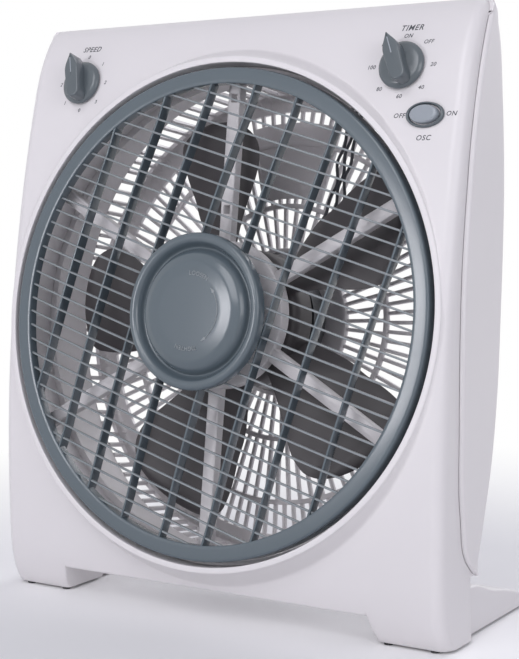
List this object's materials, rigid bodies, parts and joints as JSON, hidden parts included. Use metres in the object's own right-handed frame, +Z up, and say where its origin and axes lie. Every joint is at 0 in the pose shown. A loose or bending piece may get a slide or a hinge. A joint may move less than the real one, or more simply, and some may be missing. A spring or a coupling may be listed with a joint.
{
  "type": "electric box fan",
  "caption": "Free-standing electric box fan with a leaning white body, a turning louvre grille with a lock cap, a speed knob, a timer knob and a louvre switch.",
  "frame": {"origin": "on the floor under the middle of the object's width and depth", "axes": "+Z up, the louvre grille faces -Y, +X to the right seen from the front"},
  "size_m": [0.38, 0.17, 0.429],
  "materials": {
    "white_abs": "satin moulded ABS",
    "grey_abs": "semi-gloss moulded ABS",
    "knob_abs": "gloss moulded ABS",
    "button_abs": "gloss moulded ABS",
    "blade_pp": "translucent grey polypropylene, semi-gloss",
    "rubber": "matte",
    "steel": "zinc-plated or ground",
    "cast_zinc": "as cast",
    "lamination_steel": "stacked laminations",
    "sintered_bronze": "sintered, oiled",
    "black_nylon": "matte moulded nylon",
    "wire_pvc": "extruded PVC"
  },
  "bodies": {
    "base": {"front_housing": "white_abs", "rear_housing": "white_abs", "foot_left": "white_abs", "foot_right": "white_abs", "louvre_carrier": "white_abs", "louvre_motor": "steel", "motor_stator": "lamination_steel", "motor_front_bracket": "cast_zinc", "motor_rear_bracket": "cast_zinc", "front_bearing": "sintered_bronze", "rear_bearing": "sintered_bronze", "motor_screw_1": "steel", "motor_screw_2": "steel", "motor_screw_3": "steel", "motor_screw_4": "steel", "motor_wire_1": "wire_pvc", "motor_wire_2": "wire_pvc", "motor_wire_3": "wire_pvc", "run_capacitor": "black_nylon", "cord_gland": "black_nylon", "speed_switch": "black_nylon", "timer_body": "cast_zinc", "rocker_bezel": "knob_abs", "rocker_switch": "black_nylon", "housing_screw_upper_left": "steel", "housing_screw_upper_right": "steel", "housing_screw_lower_left": "steel", "housing_screw_lower_right": "steel", "stud_left_inner": "rubber", "stud_left_outer": "rubber", "stud_left_rear": "rubber", "stud_right_inner": "rubber", "stud_right_outer": "rubber", "stud_right_rear": "rubber"},
    "louvre": {"louvre_grille": "grey_abs", "louvre_spindle": "steel"},
    "cap": {"lock_cap": "grey_abs"},
    "fan": {"fan_blade": "blade_pp", "blade_nut": "black_nylon", "motor_shaft": "steel", "motor_rotor": "lamination_steel"},
    "speed": {"speed_knob": "knob_abs", "speed_shaft": "steel"},
    "timer": {"timer_knob": "knob_abs", "timer_shaft": "steel"},
    "rocker": {"rocker_button": "button_abs"}
  },
  "joints": [
    {"name": "fan_spin", "type": "hinge", "parent": "base", "child": "fan", "pos_m": [0, -0.05703, 0.2184], "axis": [0, -0.9888, 0.149], "continuous": true},
    {"name": "louvre_turn", "type": "hinge", "parent": "base", "child": "louvre", "pos_m": [0, -0.05703, 0.2184], "axis": [0, -0.9888, 0.149], "continuous": true},
    {"name": "lock_turn", "type": "hinge", "parent": "louvre", "child": "cap", "pos_m": [0, -0.05703, 0.2184], "axis": [0, -0.9888, 0.149], "range_deg": [0, 60]},
    {"name": "speed_turn", "type": "hinge", "parent": "base", "child": "speed", "pos_m": [-0.1365, -0.0214, 0.3852], "axis": [0, -0.9499, 0.3124], "continuous": true},
    {"name": "timer_turn", "type": "hinge", "parent": "base", "child": "timer", "pos_m": [0.1365, -0.0214, 0.3852], "axis": [0, 0.9499, -0.3124], "range_deg": [0, 335]},
    {"name": "louvre_switch", "type": "hinge", "parent": "base", "child": "rocker", "pos_m": [0.158, -0.0306, 0.352], "axis": [0, 0.2501, 0.9682], "range_deg": [0, 12]}
  ]
}
